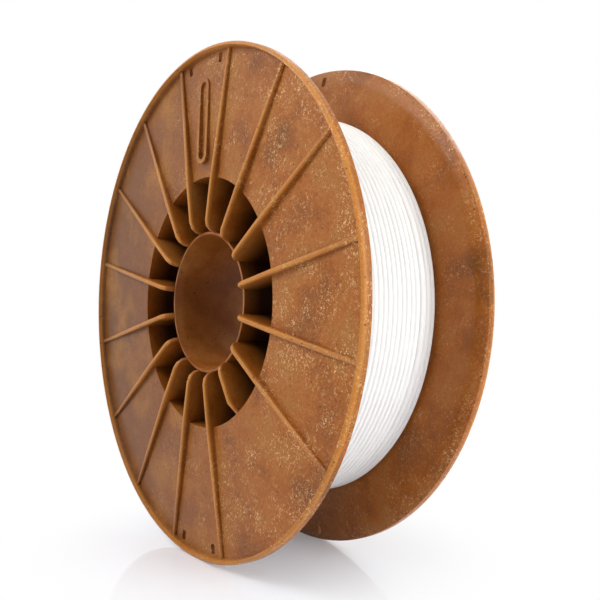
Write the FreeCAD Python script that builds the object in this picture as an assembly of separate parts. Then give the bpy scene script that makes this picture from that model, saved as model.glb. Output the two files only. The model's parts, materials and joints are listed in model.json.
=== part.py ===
"""Filament spool: two identical moulded halves that clip together at mid width, and the wound strand between them.

The spool's axis runs along Y and the origin is the centre of the bore. The front half's open face looks
towards -Y, +Z is up, and angles go clockwise from +Z as seen from the front. All lengths are millimetres.
"""
import FreeCAD, Part
import math
import os

from FreeCAD import Vector

# Overall size
FLANGE_DIAMETER = 200.0
OVERALL_WIDTH = 59.0

# Flange plate, with the raised rim outside and the rolled edge towards the winding
PLATE_THICKNESS = 2.6
FACE_RECESS = 2.8
RIM_WIDTH = 2.1
RIM_WALL_DRAFT = 0.8
RIM_CREST_CHAMFER = 0.7
ROLL_WIDTH = 6.0
ROLL_DROP = 2.0

# Hub: the bore tube in the middle and the barrel that carries the winding
BORE_DIAMETER = 51.5
TUBE_WALL = 2.25
TUBE_RECESS = 4.9
MOUTH_FLARE = 1.3
MOUTH_DEPTH = 4.6
HUB_OPENING_DIAMETER = 98.8
BARREL_WALL = 2.0

# Ribs: full-depth walls inside the hub that run on across the face as falling ridges and end in the rim
RIB_COUNT = 16
RIB_THICKNESS = 1.9
RIB_CREST_RECESS = 0.3
RIB_CREST_CHAMFER = 0.45
RIB_NOSE_ROUND = 4.9
RIB_ROOT = 1.0
RIB_END_HEIGHT = 1.1
HUB_ONLY_RIB = 6
HUB_ONLY_SLOPE = 4.5

# Raised slot in the top sector of the face
SLOT_INNER_RADIUS = 56.5
SLOT_OUTER_RADIUS = 87.5
SLOT_WIDTH = 4.6
SLOT_WALL = 1.6
SLOT_INNER_HEIGHT = 1.5
SLOT_OUTER_HEIGHT = 0.6
SLOT_FLOOR = 0.4

# Holes near the rim that hold the loose end of the strand
END_HOLE_INSET = 4.6
END_HOLE_WIDTH = 2.8
END_HOLE_LENGTH = 4.1
END_HOLE_OFFSET_DEG = 7.0
END_HOLE_SIDES_DEG = (0.0, 180.0)

# Snap joint at mid width: each tab reaches inside the other half's barrel and hooks into its window
TAB_SECTORS = (1, 5, 10, 14)
TAB_WIDTH = 9.2
TAB_THICKNESS = 2.2
TAB_ROOT_LENGTH = 8.0
TAB_REACH = 6.6
BARB_START = 3.4
BARB_HEIGHT = 1.1
SNAP_CLEARANCE = 0.15
WINDOW_CLEARANCE = 0.3

# Winding: every few turns the groove between two turns is drawn, and the first one is the wide gap beyond which
# the last turns lie loose and a little lower
WINDING_DIAMETER = 158.2
WINDING_CLEARANCE = 0.1
TURN_PITCH = 2.15
TURNS_PER_GROOVE = 6
GROOVE_COUNT = 3
GROOVE_WIDTH = 1.0
GROOVE_DEPTH = 1.1
LOOSE_GAP_INSET = 12.2
LOOSE_DROP = 0.25

# How far one solid is sunk into another before the two are fused
FUSE_DEPTH = 0.3

flange_radius = FLANGE_DIAMETER / 2
half_width = OVERALL_WIDTH / 2
rim_inner_radius = flange_radius - RIM_WIDTH
inner_face_recess = FACE_RECESS + PLATE_THICKNESS
bore_radius = BORE_DIAMETER / 2
tube_radius = bore_radius + TUBE_WALL
hub_opening_radius = HUB_OPENING_DIAMETER / 2
barrel_radius = hub_opening_radius + BARREL_WALL
sector_deg = 360.0 / RIB_COUNT
crest_inner_radius = rim_inner_radius + RIM_WALL_DRAFT
end_hole_radius = flange_radius - END_HOLE_INSET

ORIGIN = Vector(0, 0, 0)
SPOOL_AXIS = Vector(0, 1, 0)
VERTICAL = Vector(0, 0, 1)


def at(radius, recess):
    """Point of a radial section, by its radius and its depth behind the front half's outermost plane."""
    return Vector(radius, recess - half_width, 0)


def line(start, end):
    """Straight edge between two points of a radial section."""
    return Part.LineSegment(at(*start), at(*end)).toShape()


def lands(start, end, centre, count):
    """Small round drawn as a chain of straight edges between points on its arc, to keep the facets few."""
    radius = math.dist(start, centre)
    first = math.atan2(start[1] - centre[1], start[0] - centre[0])
    last = math.atan2(end[1] - centre[1], end[0] - centre[0])
    turn = math.remainder(last - first, 2 * math.pi)
    angles = [first + turn * step / count for step in range(count + 1)]
    points = [(centre[0] + radius * math.cos(angle), centre[1] + radius * math.sin(angle)) for angle in angles]
    points[0], points[-1] = start, end
    return [line(a, b) for a, b in zip(points, points[1:])]


def section(edges):
    """Face bounded by a closed loop of section edges."""
    return Part.Face(Part.Wire(edges))


def polygon(points):
    """Face bounded by straight section edges through the points."""
    loop = points + points[:1]
    return section([line(start, end) for start, end in zip(loop, loop[1:])])


def turned(shape, clock_deg):
    """Copy of a shape built along +X, turned to a clock angle on the front face."""
    copy = shape.copy()
    copy.rotate(ORIGIN, SPOOL_AXIS, clock_deg - 90.0)
    return copy


def ring(face):
    """Full revolve of a section about the spool's axis."""
    return face.revolve(ORIGIN, SPOOL_AXIS, 360)


def slab(face, thickness):
    """Flat slab with a section as its side view, centred on the section's plane."""
    piece = face.extrude(Vector(0, 0, thickness))
    piece.translate(Vector(0, 0, -thickness / 2))
    return piece


def sag_radius(run, drop):
    """Radius of an arc that leaves a straight line tangentially and is drop away from it after run."""
    return (run**2 + drop**2) / (2 * drop)


def flange_and_barrel():
    """Revolved flange plate with rim and rolled edge, in one piece with half the winding barrel."""
    crest_outer = flange_radius - RIM_CREST_CHAMFER
    roll_start = flange_radius - ROLL_WIDTH
    roll_edge = inner_face_recess - ROLL_DROP
    roll_radius = sag_radius(ROLL_WIDTH, ROLL_DROP)
    mid = half_width
    return ring(section([
        line((crest_inner_radius, 0), (crest_outer, 0)),
        line((crest_outer, 0), (flange_radius, RIM_CREST_CHAMFER)),
        line((flange_radius, RIM_CREST_CHAMFER), (flange_radius, roll_edge)),
        *lands((flange_radius, roll_edge), (roll_start, inner_face_recess),
               (roll_start, inner_face_recess - roll_radius), 2),
        line((roll_start, inner_face_recess), (barrel_radius, inner_face_recess)),
        line((barrel_radius, inner_face_recess), (barrel_radius, mid)),
        line((barrel_radius, mid), (hub_opening_radius, mid)),
        line((hub_opening_radius, mid), (hub_opening_radius, FACE_RECESS)),
        line((hub_opening_radius, FACE_RECESS), (rim_inner_radius, FACE_RECESS)),
        line((rim_inner_radius, FACE_RECESS), (crest_inner_radius, 0)),
    ]))


def bore_tube():
    """Revolved half of the bore tube, with the flared mouth that leads onto a holder."""
    mid = half_width
    return ring(polygon([
        (bore_radius, TUBE_RECESS + MOUTH_DEPTH),
        (bore_radius + MOUTH_FLARE, TUBE_RECESS),
        (tube_radius, TUBE_RECESS),
        (tube_radius, mid),
        (bore_radius, mid),
    ]))


def crest_recess(radius):
    """Depth of the rib crests on the face, which fall evenly from the hub's edge to a low end at the rim."""
    share = (radius - hub_opening_radius) / (rim_inner_radius - hub_opening_radius)
    return RIB_CREST_RECESS + (FACE_RECESS - RIB_END_HEIGHT - RIB_CREST_RECESS) * share


def middle_of(edge):
    """Point halfway along an edge, moved into the section plane."""
    point = edge.valueAt((edge.FirstParameter + edge.LastParameter) / 2)
    return Vector(point.x, point.y, 0)


def rib(crest, root):
    """Wall with the side view that crest and root edges enclose, chamfered along both sides of its crest."""
    wall = slab(section(crest + root), RIB_THICKNESS)
    middles = [middle_of(edge) for edge in crest]
    sides = [edge for edge in wall.Edges if any(middle_of(edge).isEqual(middle, 1e-4) for middle in middles)]
    return wall.makeChamfer(RIB_CREST_CHAMFER, sides)


def rib_nose():
    """Crest edges inside the hub that both kinds of rib share, and the point where they meet the tube wall."""
    nose_end = tube_radius - FUSE_DEPTH
    top_start = nose_end + RIB_NOSE_ROUND
    nose_foot = RIB_CREST_RECESS + RIB_NOSE_ROUND
    nose = lands((nose_end, nose_foot), (top_start, RIB_CREST_RECESS), (top_start, nose_foot), 3)
    return nose, (nose_end, nose_foot), (top_start, RIB_CREST_RECESS)


def hub_wall_root(nose_foot, crest_end):
    """Hidden edges of a rib: down the tube wall, along the mid plane and back up inside the barrel wall."""
    inside_barrel = hub_opening_radius + 4 * FUSE_DEPTH
    bottom = FACE_RECESS + RIB_ROOT
    corners = [crest_end]
    if crest_end[0] > inside_barrel:
        corners.append((crest_end[0], bottom))
    corners += [(inside_barrel, bottom), (inside_barrel, half_width), (nose_foot[0], half_width), nose_foot]
    return [line(start, end) for start, end in zip(corners, corners[1:])]


def face_rib():
    """Rib that fills the hub's depth and falls across the face to its end inside the rim."""
    nose, nose_foot, top_start = rib_nose()
    hub_edge = (hub_opening_radius, RIB_CREST_RECESS)
    sunk_end = crest_inner_radius + FUSE_DEPTH
    far_end = (sunk_end, crest_recess(sunk_end))
    return rib([*nose, line(top_start, hub_edge), line(hub_edge, far_end)], hub_wall_root(nose_foot, far_end))


def hub_rib():
    """Rib that stays inside the hub and slopes down to the face at the hub's edge."""
    nose, nose_foot, top_start = rib_nose()
    slope_start = (hub_opening_radius - HUB_ONLY_SLOPE, RIB_CREST_RECESS)
    slope_end = (hub_opening_radius + 4 * FUSE_DEPTH, FACE_RECESS + RIB_ROOT / 2)
    crest = [*nose, line(top_start, slope_start), line(slope_start, slope_end)]
    return rib(crest, hub_wall_root(nose_foot, slope_end))


def obround(inner, outer, width, front, back):
    """Round-ended prism along +X between two radii, from one depth behind the outermost plane to another."""
    half = width / 2
    level = front - half_width
    near = inner + half
    far = outer - half
    edges = [
        Part.LineSegment(Vector(near, level, half), Vector(far, level, half)).toShape(),
        Part.Arc(Vector(far, level, half), Vector(outer, level, 0), Vector(far, level, -half)).toShape(),
        Part.LineSegment(Vector(far, level, -half), Vector(near, level, -half)).toShape(),
        Part.Arc(Vector(near, level, -half), Vector(inner, level, 0), Vector(near, level, half)).toShape(),
    ]
    return Part.Face(Part.Wire(edges)).extrude(Vector(0, back - front, 0))


def slot_wall():
    """Raised wall round the slot, higher at the hub's end."""
    inner = SLOT_INNER_RADIUS - SLOT_WALL
    outer = SLOT_OUTER_RADIUS + SLOT_WALL
    width = SLOT_WIDTH + 2 * SLOT_WALL
    inner_crest = FACE_RECESS - SLOT_INNER_HEIGHT
    outer_crest = FACE_RECESS - SLOT_OUTER_HEIGHT
    bottom = FACE_RECESS + RIB_ROOT
    side = polygon([(inner, inner_crest), (outer, outer_crest), (outer, bottom), (inner, bottom)])
    return obround(inner, outer, width, 0, bottom).common(slab(side, width))


def slot_groove():
    """Space inside the slot's wall, down to a floor a little below the face."""
    return obround(SLOT_INNER_RADIUS, SLOT_OUTER_RADIUS, SLOT_WIDTH, 0, FACE_RECESS + SLOT_FLOOR)


def end_slit():
    """Short radial slit through the flange, a little narrower at its two ends."""
    half_length = END_HOLE_LENGTH / 2
    half_width_across = END_HOLE_WIDTH / 2
    cut = END_HOLE_WIDTH / 4
    corners = [
        (half_length, half_width_across - cut),
        (half_length - cut, half_width_across),
        (cut - half_length, half_width_across),
        (-half_length, half_width_across - cut),
    ]
    corners += [(along, -across) for along, across in reversed(corners)]
    points = [Vector(end_hole_radius + along, -half_width, across) for along, across in corners]
    outline = Part.makePolygon(points + points[:1])
    return Part.Face(outline).extrude(Vector(0, inner_face_recess + FUSE_DEPTH, 0))


def end_holes():
    """Pairs of slits, each side of the vertical at the top and at the bottom of the flange."""
    slit = end_slit()
    places = [side + offset for side in END_HOLE_SIDES_DEG for offset in (-END_HOLE_OFFSET_DEG, END_HOLE_OFFSET_DEG)]
    return [turned(slit, place) for place in places]


def snap_tab():
    """Hooked flat tab inside the barrel that reaches past mid width into the other half."""
    mid = half_width
    corner = math.sqrt((hub_opening_radius - SNAP_CLEARANCE)**2 - (TAB_WIDTH / 2)**2)
    inner = corner - TAB_THICKNESS
    sunk = hub_opening_radius + FUSE_DEPTH
    return slab(polygon([
        (sunk, mid - TAB_ROOT_LENGTH),
        (sunk, mid),
        (corner, mid),
        (corner, mid + BARB_START),
        (corner + BARB_HEIGHT, mid + BARB_START),
        (corner - BARB_HEIGHT / 2, mid + TAB_REACH),
        (inner, mid + TAB_REACH),
        (inner, mid - TAB_ROOT_LENGTH + TAB_THICKNESS),
    ]), TAB_WIDTH)


def snap_window():
    """Opening in the barrel wall that the other half's hook drops into."""
    hook_back = half_width - BARB_START + SNAP_CLEARANCE
    hook_tip = half_width - TAB_REACH - WINDOW_CLEARANCE
    inner = hub_opening_radius - TAB_THICKNESS
    outer = barrel_radius + FUSE_DEPTH
    side = polygon([(inner, hook_tip), (outer, hook_tip), (outer, hook_back), (inner, hook_back)])
    return slab(side, TAB_WIDTH + 2 * WINDOW_CLEARANCE)


def moulded_half():
    """Front half: flange, barrel, tube, ribs, slot and snap tabs as one moulding."""
    long_rib = face_rib()
    short_rib = hub_rib()
    solids = [bore_tube(), turned(slot_wall(), 0)]
    for number in range(RIB_COUNT):
        pattern = short_rib if number == HUB_ONLY_RIB else long_rib
        solids.append(turned(pattern, (number + 0.5) * sector_deg))
    tab = snap_tab()
    window = snap_window()
    cuts = [turned(slot_groove(), 0)] + end_holes()
    for sector in TAB_SECTORS:
        solids.append(turned(tab, sector * sector_deg))
        cuts.append(turned(window, -sector * sector_deg))
    return flange_and_barrel().fuse(solids).cut(cuts).removeSplitter()


def winding():
    """Wound strand as a ring between the flanges, with the main grooves between its turns."""
    inner = barrel_radius + WINDING_CLEARANCE
    outer = WINDING_DIAMETER / 2
    front = inner_face_recess + WINDING_CLEARANCE
    back = OVERALL_WIDTH - front
    loose_gap = OVERALL_WIDTH - LOOSE_GAP_INSET
    points = [(outer, front)]
    for step in reversed(range(GROOVE_COUNT)):
        middle = loose_gap - step * TURNS_PER_GROOVE * TURN_PITCH
        beyond = outer - LOOSE_DROP if step == 0 else outer
        points += [
            (outer, middle - GROOVE_WIDTH / 2),
            (outer - GROOVE_DEPTH, middle),
            (beyond, middle + GROOVE_WIDTH / 2),
        ]
    return ring(polygon(points + [(outer - LOOSE_DROP, back), (inner, back), (inner, front)]))


def main():
    """Builds the two halves and the winding, and writes one STEP file for each."""
    front = moulded_half()
    rear = front.copy()
    rear.rotate(ORIGIN, VERTICAL, 180)
    pieces = {"front_half": front, "rear_half": rear, "filament_winding": winding()}
    os.makedirs("parts", exist_ok=True)
    for name, shape in pieces.items():
        shape.exportStep(f"parts/{name}.step")
        print(name, "valid", shape.isValid(), "solids", len(shape.Solids), "volume", round(shape.Volume))


main()
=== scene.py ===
"""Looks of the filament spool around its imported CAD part.

The two moulded halves keep their CAD shape and get their finish here. The wound strand is made here as real
turns, in place of the simple ring that stands for it in the CAD part. Lengths in the fields are millimetres,
except that a ramp along a direction has its ends in metres, as the shader reads them.
"""
from __future__ import annotations

import json
import logging
import math
from dataclasses import dataclass, field
from enum import Enum

import bpy
import numpy as np
from mathutils import Matrix, Vector

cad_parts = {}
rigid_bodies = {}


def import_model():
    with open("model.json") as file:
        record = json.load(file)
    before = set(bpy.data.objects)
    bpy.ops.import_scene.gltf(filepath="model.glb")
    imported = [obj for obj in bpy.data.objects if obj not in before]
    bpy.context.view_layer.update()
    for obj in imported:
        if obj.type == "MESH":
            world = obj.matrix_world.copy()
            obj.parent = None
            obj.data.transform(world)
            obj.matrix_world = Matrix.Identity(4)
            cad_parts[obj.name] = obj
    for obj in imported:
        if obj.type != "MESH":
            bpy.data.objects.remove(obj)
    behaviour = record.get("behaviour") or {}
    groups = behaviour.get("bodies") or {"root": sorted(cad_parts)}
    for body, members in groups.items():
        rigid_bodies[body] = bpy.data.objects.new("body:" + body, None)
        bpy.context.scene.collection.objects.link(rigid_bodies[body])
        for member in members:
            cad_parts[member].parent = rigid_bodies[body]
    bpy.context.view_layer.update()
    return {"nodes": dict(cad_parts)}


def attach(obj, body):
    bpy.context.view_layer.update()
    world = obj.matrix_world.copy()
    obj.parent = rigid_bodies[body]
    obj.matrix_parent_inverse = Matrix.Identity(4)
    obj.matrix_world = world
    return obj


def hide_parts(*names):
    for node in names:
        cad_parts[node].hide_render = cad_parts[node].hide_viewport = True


MM = 0.001
BODY = "root"

# Sockets of the mix node that carry its two colours and their mixture
COLOUR_A, COLOUR_B, COLOUR_RESULT = 6, 7, 2

log = logging.getLogger("filament_spool")

Colour = tuple[float, float, float, float]
Tree = bpy.types.NodeTree
Socket = bpy.types.NodeSocket
Shell = tuple[np.ndarray, list]

WHITE: Colour = (1.0, 1.0, 1.0, 1.0)


class Node(Enum):
    """Names of the CAD part's nodes."""

    FRONT_HALF = "front_half"
    REAR_HALF = "rear_half"
    WINDING = "filament_winding"


def linear(hex_colour: str) -> Colour:
    """Turns an sRGB hex colour to linear light by the sRGB curve.

    Args:
        hex_colour: Colour as "#RRGGBB".

    Returns:
        Linear red, green and blue, and full opacity.
    """
    parts = [int(hex_colour[start:start + 2], 16) / 255 for start in (1, 3, 5)]
    red, green, blue = [c / 12.92 if c <= 0.04045 else ((c + 0.055) / 1.055) ** 2.4 for c in parts]
    return (red, green, blue, 1.0)


def add_node(tree: Tree, kind: str, inputs: dict | None = None, **settings: object) -> bpy.types.Node:
    """Adds a node with its settings and links.

    Args:
        tree: Node tree that takes the node.
        kind: Node type.
        inputs: Value or source socket for each input, by the input's name or number.
        **settings: Properties of the node.

    Returns:
        The new node.
    """
    node = tree.nodes.new(kind)
    for name, value in settings.items():
        setattr(node, name, value)
    for key, value in (inputs or {}).items():
        if isinstance(value, Socket):
            tree.links.new(value, node.inputs[key])
        else:
            node.inputs[key].default_value = value
    return node


def new_material(name: str) -> tuple[bpy.types.Material, Tree]:
    """Makes an empty node material.

    Args:
        name: Name of the material.

    Returns:
        The material and its node tree.
    """
    material = bpy.data.materials.new(name)
    material.use_nodes = True
    material.node_tree.nodes.clear()
    return material, material.node_tree


def seen_share(tree: Tree) -> Socket:
    """Tells rays that see a surface, directly or in gloss or glass, from rays that only gather its light.

    Args:
        tree: Node tree that takes the nodes.

    Returns:
        1 for camera, glossy and transmission rays and 0 for the others.
    """
    path = add_node(tree, "ShaderNodeLightPath")
    mirrored = add_node(tree, "ShaderNodeMath", {
        0: path.outputs["Is Glossy Ray"], 1: path.outputs["Is Transmission Ray"]}, operation="MAXIMUM")
    seen = add_node(tree, "ShaderNodeMath", {
        0: path.outputs["Is Camera Ray"], 1: mirrored.outputs["Value"]}, operation="MAXIMUM")
    return seen.outputs["Value"]


@dataclass(frozen=True)
class Pattern:
    """Cloudy pattern whose features have a real size."""

    size: float
    detail: float
    roughness: float
    distortion: float = 0.0

    def inputs(self, place: Socket) -> dict:
        """Inputs of the noise node.

        Args:
            place: Object coordinates.

        Returns:
            Value or source socket by the input's name.
        """
        return {"Vector": place, "Scale": 1 / (self.size * MM), "Detail": self.detail,
                "Roughness": self.roughness, "Distortion": self.distortion}


@dataclass(frozen=True)
class Ramp:
    """Even change from a low to a high value between two ends, and level beyond them."""

    start: float
    end: float
    low: float = 0.0
    high: float = 1.0

    def inputs(self, value: Socket) -> dict:
        """Inputs of the map range node.

        Args:
            value: Value that the ramp reads.

        Returns:
            Value or source socket by the input's name.
        """
        return {"Value": value, "From Min": self.start, "From Max": self.end,
                "To Min": self.low, "To Max": self.high}


@dataclass(frozen=True)
class WoodFilledPlastic:
    """Bioplastic filled with wood dust, injection moulded.

    The melt's flow leaves soft clouds of lighter and darker brown, and the dust shows as pale flecks that
    gather in patches and as few dark specks. The crests are painted golden, a painted glow for the light that
    the thin crests let through. Most grains of the dust are too fine to show, so the grain and the flecks are
    drawn coarser than they are. More painted light lies in the colour: a darker, greyer brown towards -X is
    painted shade and painted reflection, the flecks drawn denser towards +X are a painted highlight, and the
    hub's pockets are painted darker as painted shade.
    """

    brown: str = "#A35B1A"
    # Painted shade and painted reflection: the darker, greyer brown of the -X side
    side_shade_brown: str = "#673F1F"
    dark_cloud: str = "#7B4719"
    pale_cloud: str = "#A46F36"
    fleck: str = "#F2CB92"
    speck: str = "#3A1C0C"
    # Painted glow: the golden colour of the crests
    painted_crest_glow: str = "#CF8A3C"

    # Clouds and grain of the brown; the darker, greyer brown towards -X is painted shade and painted
    # reflection
    clouds: Pattern = Pattern(22.0, 5.0, 0.62)
    grain: Pattern = Pattern(0.9, 2.0, 0.6)
    side_shade_share: Ramp = Ramp(50.0 * MM, -90.0 * MM)
    pale_share: Ramp = Ramp(0.45, 0.7, 0.0, 0.8)
    dark_share: Ramp = Ramp(0.5, 0.3)
    grain_tone: Ramp = Ramp(0.3, 0.7, 0.86, 1.12)

    # Flecks, by their own noise, their patches, the place along X and the distance from the mid plane; the
    # place along X is a painted highlight, more flecks towards +X
    flakes: Pattern = Pattern(0.85, 2.0, 0.6, 1.2)
    patches: Pattern = Pattern(14.0, 4.0, 0.65)
    fleck_spot: Ramp = Ramp(0.54, 0.7)
    fleck_patch: Ramp = Ramp(0.45, 0.63, 0.2, 1.0)
    fleck_painted_highlight_side: Ramp = Ramp(-50.0 * MM, 60.0 * MM, 0.1)
    fleck_outer: Ramp = Ramp(24.2 * MM, 25.8 * MM, 0.4)

    # Specks, one in the middle of a cell where the cell's own tone allows it
    speck_spacing: float = 2.6
    speck_spot: Ramp = Ramp(0.16, 0.09)
    speck_chosen: Ramp = Ramp(0.3, 0.9, 0.0, 0.85)

    # Painted golden glow on the crests and painted shade in the pockets, by the distance from the mid plane
    painted_crest_glow_share: Ramp = Ramp(27.6 * MM, 28.5 * MM, 0.0, 0.6)
    tube_radius: float = 27.9
    hub_radius: float = 49.5
    pocket_shade_share: Ramp = Ramp(26.5 * MM, 17.0 * MM)
    painted_pocket_shade: Ramp = Ramp(0.0, 1.0, 1.0, 0.15)

    # Satin gloss, and light that enters a little way into the plastic
    roughness: Ramp = Ramp(0.35, 0.65, 0.33, 0.45)
    ior: float = 1.5
    sheen: float = 0.22
    scatter: float = 0.12
    scatter_depth: float = 1.6
    scatter_colours: tuple[float, float, float] = (1.0, 0.45, 0.18)
    grain_height: float = 0.07
    grain_strength: float = 0.6

    def material(self) -> bpy.types.Material:
        """Builds the material.

        Returns:
            The finished material.
        """
        material, tree = new_material("wood_filled_plastic")
        place = add_node(tree, "ShaderNodeTexCoord").outputs["Object"]
        axes = add_node(tree, "ShaderNodeSeparateXYZ", {"Vector": place})
        aside = axes.outputs["X"]
        depth = add_node(tree, "ShaderNodeMath", {
            0: axes.outputs["Y"]}, operation="ABSOLUTE").outputs["Value"]
        clouds = add_node(tree, "ShaderNodeTexNoise", self.clouds.inputs(place)).outputs["Fac"]
        grain = add_node(tree, "ShaderNodeTexNoise", self.grain.inputs(place)).outputs["Fac"]
        on_flange, in_pocket = self._zones(tree, axes)
        colour = self._clouded(tree, aside, in_pocket, clouds, grain)
        # Painted glow: the crests of the ribs and the rim are painted golden
        painted_crest_glow = add_node(tree, "ShaderNodeMapRange", self.painted_crest_glow_share.inputs(depth)).outputs["Result"]
        flecks = self._fleck_share(tree, place, aside, depth, on_flange)
        specks = self._speck_share(tree, place)
        for share, tint in ((painted_crest_glow, self.painted_crest_glow), (flecks, self.fleck), (specks, self.speck)):
            mix = add_node(tree, "ShaderNodeMix", {
                "Factor": share, COLOUR_A: colour, COLOUR_B: linear(tint)}, data_type="RGBA")
            colour = mix.outputs[COLOUR_RESULT]
        # Painted shade: the colour is darkened deep in the hub's pockets
        pocket_shaded = add_node(tree, "ShaderNodeVectorMath", {
            0: colour, "Scale": self._painted_pocket_shade(tree, depth, in_pocket)}, operation="SCALE")
        gloss = add_node(tree, "ShaderNodeMapRange", self.roughness.inputs(clouds))
        bump = add_node(tree, "ShaderNodeBump", {
            "Height": grain, "Strength": self.grain_strength, "Distance": self.grain_height * MM})
        shader = add_node(tree, "ShaderNodeBsdfPrincipled", {
            "Base Color": pocket_shaded.outputs["Vector"],
            "Roughness": gloss.outputs["Result"],
            "Normal": bump.outputs["Normal"],
            "IOR": self.ior,
            "Specular IOR Level": self.sheen,
            "Subsurface Weight": self.scatter,
            "Subsurface Scale": self.scatter_depth * MM,
            "Subsurface Radius": self.scatter_colours})
        add_node(tree, "ShaderNodeOutputMaterial", {"Surface": shader.outputs["BSDF"]})
        return material

    def _zones(self, tree: Tree, axes: bpy.types.Node) -> tuple[Socket, Socket]:
        """Tells the flanges and the hub's pockets from the rest, by the distance from the spool's axis.

        Args:
            tree: Node tree of the material.
            axes: Object coordinates, one by one.

        Returns:
            1 on the flanges and 0 inside the hub, and 1 between the tube and the hub's wall and 0 elsewhere.
        """
        across = add_node(tree, "ShaderNodeCombineXYZ", {"X": axes.outputs["X"], "Z": axes.outputs["Z"]})
        radius = add_node(tree, "ShaderNodeVectorMath", {0: across.outputs["Vector"]}, operation="LENGTH")
        outside_tube, on_flange = [
            add_node(tree, "ShaderNodeMath", {
                0: radius.outputs["Value"], 1: limit * MM}, operation="GREATER_THAN").outputs["Value"]
            for limit in (self.tube_radius, self.hub_radius)]
        in_pocket = add_node(tree, "ShaderNodeMath", {
            0: outside_tube, 1: on_flange}, operation="SUBTRACT")
        return on_flange, in_pocket.outputs["Value"]

    def _clouded(self, tree: Tree, aside: Socket, in_pocket: Socket, clouds: Socket,
                 grain: Socket) -> Socket:
        """Mixes the browns of the clouds and the fine grain.

        The brown is painted darker and greyer towards -X, as painted shade and painted reflection, except in
        the hub's pockets.

        Args:
            tree: Node tree of the material.
            aside: Place along X.
            in_pocket: 1 between the tube and the hub's wall and 0 elsewhere.
            clouds: Noise of the clouds.
            grain: Noise of the grain.

        Returns:
            Colour of the plastic, with the painted shade and painted reflection towards -X.
        """
        side_shade, pale, dark, tone = [
            add_node(tree, "ShaderNodeMapRange", ramp.inputs(value)).outputs["Result"]
            for ramp, value in ((self.side_shade_share, aside), (self.pale_share, clouds),
                                (self.dark_share, clouds), (self.grain_tone, grain))]
        # Painted shade and painted reflection: a darker, greyer brown towards -X, outside the pockets
        side_shaded = add_node(tree, "ShaderNodeMath", {
            0: side_shade, 1: in_pocket}, operation="SUBTRACT", use_clamp=True)
        colour = linear(self.brown)
        for share, tint in ((side_shaded.outputs["Value"], self.side_shade_brown), (pale, self.pale_cloud),
                            (dark, self.dark_cloud)):
            mix = add_node(tree, "ShaderNodeMix", {
                "Factor": share, COLOUR_A: colour, COLOUR_B: linear(tint)}, data_type="RGBA")
            colour = mix.outputs[COLOUR_RESULT]
        grained = add_node(tree, "ShaderNodeVectorMath", {0: colour, "Scale": tone}, operation="SCALE")
        return grained.outputs["Vector"]

    def _fleck_share(self, tree: Tree, place: Socket, aside: Socket, depth: Socket,
                     on_flange: Socket) -> Socket:
        """Share of fleck colour: small crooked flakes of the dust, gathered in patches on the flanges.

        The flakes are drawn denser towards +X, a painted highlight for the brighter lit side, and fewer on
        the flanges' inner sides. The share is the product of the four ramps, and 0 inside the hub.

        Args:
            tree: Node tree of the material.
            place: Object coordinates.
            aside: Place along X.
            depth: Distance from the spool's mid plane.
            on_flange: 1 on the flanges and 0 inside the hub.

        Returns:
            Share from 0 to 1.
        """
        flakes, patches = [
            add_node(tree, "ShaderNodeTexNoise", pattern.inputs(place)).outputs["Fac"]
            for pattern in (self.flakes, self.patches)]
        share = on_flange
        # The ramp along X is a painted highlight: more flecks towards +X
        for ramp, value in ((self.fleck_spot, flakes), (self.fleck_patch, patches),
                            (self.fleck_painted_highlight_side, aside), (self.fleck_outer, depth)):
            factor = add_node(tree, "ShaderNodeMapRange", ramp.inputs(value))
            product = add_node(tree, "ShaderNodeMath", {
                0: share, 1: factor.outputs["Result"]}, operation="MULTIPLY")
            share = product.outputs["Value"]
        return share

    def _speck_share(self, tree: Tree, place: Socket) -> Socket:
        """Share of speck colour: the few dark grains.

        Args:
            tree: Node tree of the material.
            place: Object coordinates.

        Returns:
            Share from 0 to 1.
        """
        cells = add_node(tree, "ShaderNodeTexVoronoi", {
            "Vector": place, "Scale": 1 / (self.speck_spacing * MM)})
        tone = add_node(tree, "ShaderNodeSeparateColor", {"Color": cells.outputs["Color"]})
        spot = add_node(tree, "ShaderNodeMapRange", self.speck_spot.inputs(cells.outputs["Distance"]))
        chosen = add_node(tree, "ShaderNodeMapRange", self.speck_chosen.inputs(tone.outputs["Green"]))
        share = add_node(tree, "ShaderNodeMath", {
            0: spot.outputs["Result"], 1: chosen.outputs["Result"]}, operation="MULTIPLY")
        return share.outputs["Value"]

    def _painted_pocket_shade(self, tree: Tree, depth: Socket, in_pocket: Socket) -> Socket:
        """Painted shade in the hub's pockets: walls drawn darker towards mid width, where little light
        reaches.

        Args:
            tree: Node tree of the material.
            depth: Distance from the spool's mid plane.
            in_pocket: 1 between the tube and the hub's wall and 0 elsewhere.

        Returns:
            Factor of painted shade for the colour, 1 outside the pockets.
        """
        deep = add_node(tree, "ShaderNodeMapRange", self.pocket_shade_share.inputs(depth))
        share = add_node(tree, "ShaderNodeMath", {
            0: deep.outputs["Result"], 1: in_pocket}, operation="MULTIPLY")
        tone = add_node(tree, "ShaderNodeMapRange", self.painted_pocket_shade.inputs(share.outputs["Value"]))
        return tone.outputs["Result"]


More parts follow.
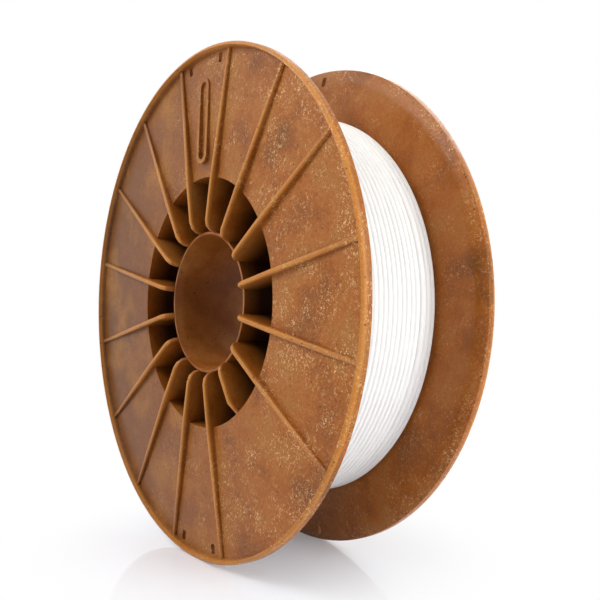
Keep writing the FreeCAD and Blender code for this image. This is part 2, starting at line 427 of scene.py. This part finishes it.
@dataclass(frozen=True)
class ExtrudedFilament:
    """White PLA strand, extruded and drawn through a water bath.

    It is satin, and its skin varies slightly in tone along the strand.
    """

    white: str = "#FAFAF8"
    shade: str = "#F5F5F2"
    tones: Pattern = Pattern(9.0, 3.0, 0.5)
    roughness: Ramp = Ramp(0.3, 0.7, 0.39, 0.51)
    ior: float = 1.46

    def material(self) -> bpy.types.Material:
        """Builds the material.

        Returns:
            The finished material.
        """
        material, tree = new_material("white_pla_strand")
        place = add_node(tree, "ShaderNodeTexCoord").outputs["Object"]
        tones = add_node(tree, "ShaderNodeTexNoise", self.tones.inputs(place)).outputs["Fac"]
        skin = add_node(tree, "ShaderNodeMix", {
            "Factor": tones, COLOUR_A: linear(self.white), COLOUR_B: linear(self.shade)},
            data_type="RGBA")
        gloss = add_node(tree, "ShaderNodeMapRange", self.roughness.inputs(tones))
        shader = add_node(tree, "ShaderNodeBsdfPrincipled", {
            "Base Color": skin.outputs[COLOUR_RESULT],
            "Roughness": gloss.outputs["Result"],
            "IOR": self.ior})
        add_node(tree, "ShaderNodeOutputMaterial", {"Surface": shader.outputs["BSDF"]})
        return material


@dataclass(frozen=True)
class StudioFloor:
    """Glossy white studio panel that fades into the white backdrop away from the object."""

    white: str = "#EDEFF7"
    roughness: float = 0.06
    ior: float = 1.45
    lift: float = 0.12
    fade: Ramp = Ramp(15.0 * MM, 105.0 * MM)

    def material(self) -> bpy.types.Material:
        """Builds the material.

        Returns:
            The finished material.
        """
        material, tree = new_material("studio_floor")
        place = add_node(tree, "ShaderNodeTexCoord").outputs["Object"]
        distance = add_node(tree, "ShaderNodeVectorMath", {
            0: place}, operation="LENGTH").outputs["Value"]
        fade = add_node(tree, "ShaderNodeMapRange", self.fade.inputs(distance),
                        interpolation_type="SMOOTHSTEP")
        seen = seen_share(tree)
        panel = add_node(tree, "ShaderNodeBsdfPrincipled", {
            "Base Color": linear(self.white), "Roughness": self.roughness, "IOR": self.ior})
        lift = add_node(tree, "ShaderNodeMath", {0: seen, 1: self.lift}, operation="MULTIPLY")
        glow = add_node(tree, "ShaderNodeEmission", {"Color": WHITE, "Strength": lift.outputs["Value"]})
        near = add_node(tree, "ShaderNodeAddShader", {
            0: panel.outputs["BSDF"], 1: glow.outputs["Emission"]})
        far = add_node(tree, "ShaderNodeEmission", {"Color": WHITE, "Strength": 1.0})
        faded = add_node(tree, "ShaderNodeMath", {0: fade.outputs["Result"], 1: seen}, operation="MULTIPLY")
        surface = add_node(tree, "ShaderNodeMixShader", {
            0: faded.outputs["Value"], 1: near.outputs["Shader"], 2: far.outputs["Emission"]})
        add_node(tree, "ShaderNodeOutputMaterial", {"Surface": surface.outputs["Shader"]})
        return material


def grid_surface(rings: np.ndarray) -> Shell:
    """Closed tube through a row of closed rings, with a pole at the centre of each end ring.

    Point (i, j) is ring i's point j. Quads join neighbouring rings, and triangles join each end ring to the
    mean of its points.

    Args:
        rings: Points as (ring, point on ring, 3).

    Returns:
        Vertices and faces.
    """
    count, around = rings.shape[:2]
    ring, step = np.meshgrid(np.arange(count - 1), np.arange(around), indexing="ij")
    here = ring * around + step
    beside = ring * around + (step + 1) % around
    quads = np.stack([here, beside, beside + around, here + around], axis=-1).reshape(-1, 4)
    points = np.concatenate([rings.reshape(-1, 3), rings[:1].mean(axis=1), rings[-1:].mean(axis=1)])
    first, last = count * around, count * around + 1
    edge = np.arange(around)
    after = (edge + 1) % around
    start_cap = np.stack([np.full(around, first), after, edge], axis=-1)
    end = (count - 1) * around
    end_cap = np.stack([np.full(around, last), end + edge, end + after], axis=-1)
    return points, quads.tolist() + start_cap.tolist() + end_cap.tolist()


def lathe_surface(profile: np.ndarray, steps: int) -> Shell:
    """Closed ring made by turning a closed profile about the spool's axis.

    Point (i, j) is (r_j sin a_i, y_j, r_j cos a_i), with a_i going once round and (r_j, y_j) the profile's
    point j.

    Args:
        profile: Points of the section as (radius, place along the axis), in order round the section.
        steps: Number of steps round the axis.

    Returns:
        Vertices and faces.
    """
    angle = np.linspace(0.0, 2 * math.pi, steps, endpoint=False)[:, None]
    radius, along = profile[None, :, 0], profile[None, :, 1]
    points = np.stack([radius * np.sin(angle), along + 0 * angle, radius * np.cos(angle)], axis=-1)
    around = len(profile)
    turn, step = np.meshgrid(np.arange(steps) * around, np.arange(around), indexing="ij")
    after = (turn + around) % (steps * around)
    beside = (step + 1) % around
    quads = np.stack([turn + step, turn + beside, after + beside, after + step], axis=-1)
    return points.reshape(-1, 3), quads.reshape(-1, 4).tolist()


def outward(points: np.ndarray, faces: list) -> list:
    """Turns all faces of a closed surface outwards, by the sign of the volume that they enclose.

    Args:
        points: Vertices.
        faces: Faces as lists of vertex numbers, all turning the same way.

    Returns:
        The faces, reversed where they pointed inwards.
    """
    corners = np.array([[face[0], face[1], face[2]] for face in faces] + [
        [face[0], face[2], face[3]] for face in faces if len(face) == 4])
    first, second, third = points[corners[:, 0]], points[corners[:, 1]], points[corners[:, 2]]
    volume = np.einsum("ij,ij->i", first, np.cross(second, third)).sum()
    return faces if volume > 0 else [face[::-1] for face in faces]


def mesh_object(name: str, shells: list[Shell], material: bpy.types.Material) -> bpy.types.Object:
    """Makes one smooth object from closed shells given in millimetres.

    Args:
        name: Name of the piece.
        shells: Vertices and faces of each shell.
        material: Finish of the piece.

    Returns:
        The new object, at the origin.
    """
    points, faces, offset = [], [], 0
    for shell_points, shell_faces in shells:
        turned = outward(shell_points, shell_faces)
        faces.extend([[number + offset for number in face] for face in turned])
        points.append(shell_points)
        offset += len(shell_points)
    mesh = bpy.data.meshes.new(name)
    mesh.from_pydata((np.concatenate(points) * MM).tolist(), [], faces)
    mesh.polygons.foreach_set("use_smooth", np.ones(len(mesh.polygons), dtype=bool))
    mesh.materials.append(material)
    mesh.update()
    piece = bpy.data.objects.new(name, mesh)
    bpy.context.scene.collection.objects.link(piece)
    return piece


@dataclass
class MouldedHalves:
    """The two clipped halves of the spool, which keep their CAD shape."""

    finish: WoodFilledPlastic = field(default_factory=WoodFilledPlastic)
    weld_distance: float = 0.001
    crease_deg: float = 50.0

    def dress(self, nodes: dict[str, bpy.types.Object]) -> list[bpy.types.Object]:
        """Gives both halves their finish and smooth shading over their small rounds.

        Args:
            nodes: CAD objects by node name.

        Returns:
            The two objects.
        """
        material = self.finish.material()
        shading = self._shading_group()
        halves = [nodes[Node.FRONT_HALF.value], nodes[Node.REAR_HALF.value]]
        for half in halves:
            half.data.materials.clear()
            half.data.materials.append(material)
            smooth = half.modifiers.new("smooth_rounds", "NODES")
            smooth.node_group = shading
            weighted = half.modifiers.new("flat_faces_stay_flat", "WEIGHTED_NORMAL")
            weighted.mode = "FACE_AREA"
            weighted.keep_sharp = True
        return halves

    def _shading_group(self) -> Tree:
        """Builds the modifier that joins the loose triangles and creases them at sharp edges only.

        Returns:
            The geometry node group.
        """
        tree = bpy.data.node_groups.new("smooth_rounds", "GeometryNodeTree")
        tree.interface.new_socket("Geometry", in_out="INPUT", socket_type="NodeSocketGeometry")
        tree.interface.new_socket("Geometry", in_out="OUTPUT", socket_type="NodeSocketGeometry")
        source = add_node(tree, "NodeGroupInput")
        joined = add_node(tree, "GeometryNodeMergeByDistance", {
            "Geometry": source.outputs["Geometry"], "Distance": self.weld_distance * MM})
        bare = add_node(tree, "GeometryNodeRemoveAttribute", {
            "Geometry": joined.outputs["Geometry"], "Name": "custom_normal"})
        faces = add_node(tree, "GeometryNodeSetShadeSmooth", {
            "Geometry": bare.outputs["Geometry"], "Shade Smooth": True}, domain="FACE")
        angle = add_node(tree, "GeometryNodeInputMeshEdgeAngle")
        soft = add_node(tree, "FunctionNodeCompare", {
            0: angle.outputs["Unsigned Angle"], 1: math.radians(self.crease_deg)},
            data_type="FLOAT", operation="LESS_THAN")
        edges = add_node(tree, "GeometryNodeSetShadeSmooth", {
            "Geometry": faces.outputs["Geometry"], "Shade Smooth": soft.outputs["Result"]}, domain="EDGE")
        add_node(tree, "NodeGroupOutput", {"Geometry": edges.outputs["Geometry"]})
        return tree


@dataclass(frozen=True)
class Layer:
    """How one layer of turns is laid: its start in parts of a turn, its steps per turn, its waves' seed."""

    phase: float
    steps_per_turn: int
    seed: int


@dataclass
class WoundStrand:
    """The filament: its outermost layer of turns, the layer that shows between them, and the rest as a core.

    The turns are even up to a wider gap, and looser beyond it. The marks give the place along the axis at
    certain turns, the gap's two ends among them.
    """

    finish: ExtrudedFilament = field(default_factory=ExtrudedFilament)
    strand_diameter: float = 1.75
    outer_radius: float = 79.05
    half_width: float = 24.0
    barrel_radius: float = 51.5
    layer_step: float = 0.8
    outer_layer: Layer = Layer(0.0, 150, 7)
    under_layer: Layer = Layer(0.5, 100, 11)
    turn_marks: tuple[float, ...] = (0.0, 17.6, 18.6, 20.7)
    place_marks: tuple[float, ...] = (-23.1, 15.0, 18.3, 23.1)
    loose_drop: float = 0.25
    wander: float = 0.1
    wander_turns: tuple[float, ...] = (0.37, 0.83, 1.9, 3.1)
    end_dip_turns: float = 0.05
    steps_around: int = 12
    core_steps: int = 180
    shoulder_points: int = 6

    def build(self) -> bpy.types.Object:
        """Builds the turns and the core as one piece in place of the CAD ring.

        Returns:
            The new object.
        """
        outer = self.outer_radius - self.strand_diameter / 2
        under = outer - self.layer_step
        shells = [self._turns(outer, self.outer_layer), self._turns(under, self.under_layer),
                  self._core(under)]
        piece = mesh_object("wound_strand", shells, self.finish.material())
        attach(piece, BODY)
        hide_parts(Node.WINDING.value)
        return piece

    def _turns(self, centre: float, layer: Layer) -> Shell:
        """One layer as a strand carried along a helix.

        The strand's middle at turn t is (R sin a, y, R cos a), where a is 2 pi (t + phase), y follows the
        marks of place against turn, and R is the layer's radius less a small drop in the loose turns and a
        dip at both ends. Slow waves move y and R a little. The section is a circle in the plane of the radius
        and the axis.

        Args:
            centre: Radius of the strand's middle.
            layer: How the layer is laid.

        Returns:
            Vertices and faces.
        """
        turns = self.turn_marks[-1]
        turn = np.linspace(0.0, turns, round(turns * layer.steps_per_turn) + 1)
        waves = np.random.default_rng(layer.seed)
        along = np.interp(turn, self.turn_marks, self.place_marks)
        along = np.clip(along + self._wave(turn, waves), self.place_marks[0], self.place_marks[-1])
        loose = np.interp(turn, self.turn_marks[1:3], (0.0, 1.0))
        radius = centre - np.abs(self._wave(turn, waves)) - self.loose_drop * loose
        from_end = np.minimum(turn, turns - turn) / self.end_dip_turns
        radius = radius - self.strand_diameter * np.clip(1.0 - from_end, 0.0, 1.0) ** 2
        angle = 2 * math.pi * (turn + layer.phase)
        out = np.stack([np.sin(angle), np.zeros_like(angle), np.cos(angle)], axis=-1)
        middle = radius[:, None] * out
        middle[:, 1] = along
        spin = np.linspace(0.0, 2 * math.pi, self.steps_around, endpoint=False)
        section = self.strand_diameter / 2 * np.stack([np.cos(spin), np.sin(spin)], axis=-1)
        rings = middle[:, None, :] + section[None, :, :1] * out[:, None, :]
        rings[:, :, 1] += section[None, :, 1]
        return grid_surface(rings)

    def _wave(self, turn: np.ndarray, waves: np.random.Generator) -> np.ndarray:
        """Mean of a few slow sine waves along the strand, each with its own length in turns.

        Args:
            turn: Turns from the strand's start.
            waves: Source of the phases.

        Returns:
            Small shift at each point, in millimetres.
        """
        lengths = np.array(self.wander_turns)
        phases = waves.uniform(0.0, 2 * math.pi, lengths.size)
        rows = np.sin(2 * math.pi * turn[:, None] / lengths[None, :] + phases[None, :])
        return self.wander * rows.mean(axis=1)

    def _core(self, top: float) -> Shell:
        """The inner layers as one closed ring with rounded shoulders.

        The section goes from the barrel up the front side, round a quarter circle, across the top, round a
        quarter circle and down the rear side.

        Args:
            top: Radius of the core.

        Returns:
            Vertices and faces.
        """
        side = self.half_width
        shoulder = self.strand_diameter / 2
        bend = np.linspace(0.0, math.pi / 2, self.shoulder_points)
        rise, fall = shoulder * np.sin(bend), shoulder * np.cos(bend)
        front = np.stack([top - shoulder + rise, shoulder - side - fall], axis=-1)
        rear = np.stack([top - shoulder + fall, side - shoulder + rise], axis=-1)
        profile = np.concatenate([[[self.barrel_radius, -side]], front, rear, [[self.barrel_radius, side]]])
        return lathe_surface(profile, self.core_steps)


@dataclass(frozen=True)
class Lamp:
    """Soft rectangular studio lamp that looks at the spool's centre."""

    name: str
    direction: tuple[float, float, float]
    width: float
    height: float
    power: float
    distance: float = 900.0

    def light(self) -> None:
        """Places the lamp."""
        data = bpy.data.lights.new(self.name, "AREA")
        data.shape = "RECTANGLE"
        data.size = self.width * MM
        data.size_y = self.height * MM
        data.energy = self.power
        lamp = bpy.data.objects.new(self.name, data)
        towards = Vector(self.direction).normalized()
        lamp.location = towards * self.distance * MM
        lamp.rotation_euler = towards.to_track_quat("Z", "Y").to_euler()
        bpy.context.scene.collection.objects.link(lamp)


@dataclass
class Studio:
    """Floor, backdrop and lamps."""

    floor: StudioFloor = field(default_factory=StudioFloor)
    floor_size: float = 1600.0
    floor_level: float = -100.0
    surround: Ramp = Ramp(-0.4, 0.8, 0.06, 0.44)
    surround_side: tuple[float, float, float] = (-0.55, -0.7, 0.45)
    lamps: tuple[Lamp, ...] = (
        Lamp("front_lamp", (-0.5, -1.0, 0.85), 450.0, 450.0, 2.8),
        Lamp("high_lamp", (-0.05, -0.75, 0.75), 350.0, 350.0, 2.0),
        Lamp("side_lamp", (1.0, 0.22, 0.12), 420.0, 900.0, 8.5),
        Lamp("top_lamp", (0.1, -0.1, 1.0), 600.0, 600.0, 1.1),
        Lamp("back_lamp", (-0.4, 1.0, 0.8), 700.0, 600.0, 3.0),
    )

    def build(self) -> None:
        """Builds the floor, the backdrop and the lamps."""
        self._floor()
        self._backdrop()
        for lamp in self.lamps:
            lamp.light()

    def _floor(self) -> None:
        """Lays a square panel under the spool."""
        half = self.floor_size / 2 * MM
        corners = [(-half, -half, 0), (half, -half, 0), (half, half, 0), (-half, half, 0)]
        mesh = bpy.data.meshes.new("studio_floor")
        mesh.from_pydata(corners, [], [[0, 1, 2, 3]])
        mesh.materials.append(self.floor.material())
        panel = bpy.data.objects.new("studio_floor", mesh)
        panel.location.z = self.floor_level * MM
        bpy.context.scene.collection.objects.link(panel)

    def _backdrop(self) -> None:
        """Sets a surround that is brightest on one side and dim on the other, and white where it is seen."""
        world = bpy.data.worlds.new("studio")
        world.use_nodes = True
        tree = world.node_tree
        tree.nodes.clear()
        towards = add_node(tree, "ShaderNodeVectorMath", {
            0: add_node(tree, "ShaderNodeTexCoord").outputs["Generated"],
            1: Vector(self.surround_side).normalized()}, operation="DOT_PRODUCT")
        strength = add_node(tree, "ShaderNodeMapRange", self.surround.inputs(towards.outputs["Value"]),
                            interpolation_type="SMOOTHSTEP")
        soft = add_node(tree, "ShaderNodeBackground", {
            "Color": WHITE, "Strength": strength.outputs["Result"]})
        white = add_node(tree, "ShaderNodeBackground", {"Color": WHITE, "Strength": 1.0})
        mix = add_node(tree, "ShaderNodeMixShader", {
            0: seen_share(tree), 1: soft.outputs["Background"], 2: white.outputs["Background"]})
        add_node(tree, "ShaderNodeOutputWorld", {"Surface": mix.outputs["Shader"]})
        bpy.context.scene.world = world


@dataclass
class ViewCamera:
    """Camera that looks at the front face from the right, level with the bore."""

    azimuth_deg: float = 53.39
    elevation_deg: float = -1.04
    roll_deg: float = 0.77
    distance: float = 320.2
    aside: float = 17.475
    above: float = 1.324
    lens: float = 46.03
    sensor: float = 36.0
    nearest: float = 10.0

    def place(self) -> bpy.types.Object:
        """Places the camera and makes it the scene's own.

        Returns:
            The camera's object.
        """
        azimuth, elevation = math.radians(self.azimuth_deg), math.radians(self.elevation_deg)
        back = Vector((math.sin(azimuth) * math.cos(elevation), -math.cos(azimuth) * math.cos(elevation),
                       math.sin(elevation)))
        level = Vector((math.cos(azimuth), math.sin(azimuth), 0.0))
        right = Matrix.Rotation(-math.radians(self.roll_deg), 3, -back) @ level
        up = back.cross(right)
        data = bpy.data.cameras.new("view_camera")
        data.lens = self.lens
        data.sensor_width = self.sensor
        data.clip_start = self.nearest * MM
        camera = bpy.data.objects.new("view_camera", data)
        rotation = Matrix((right, up, back)).transposed().to_4x4()
        place = (back * self.distance + right * self.aside + up * self.above) * MM
        camera.matrix_world = Matrix.Translation(place) @ rotation
        bpy.context.scene.collection.objects.link(camera)
        bpy.context.scene.camera = camera
        return camera


def main() -> None:
    """Builds the camera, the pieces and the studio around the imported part."""
    logging.basicConfig(level=logging.INFO, format="%(name)s: %(message)s")
    for leftover in list(bpy.data.objects):
        bpy.data.objects.remove(leftover)
    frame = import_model()
    bpy.context.scene.view_settings.view_transform = "Standard"
    camera = ViewCamera().place()
    log.info("camera at %s", tuple(round(value, 4) for value in camera.location))
    for half in MouldedHalves().dress(frame["nodes"]):
        log.info("%s dressed, %d faces", half.name, len(half.data.polygons))
    strand = WoundStrand().build()
    log.info("%s built, %d faces", strand.name, len(strand.data.polygons))
    Studio().build()
    log.info("studio built")


if __name__ == "__main__":
    main()
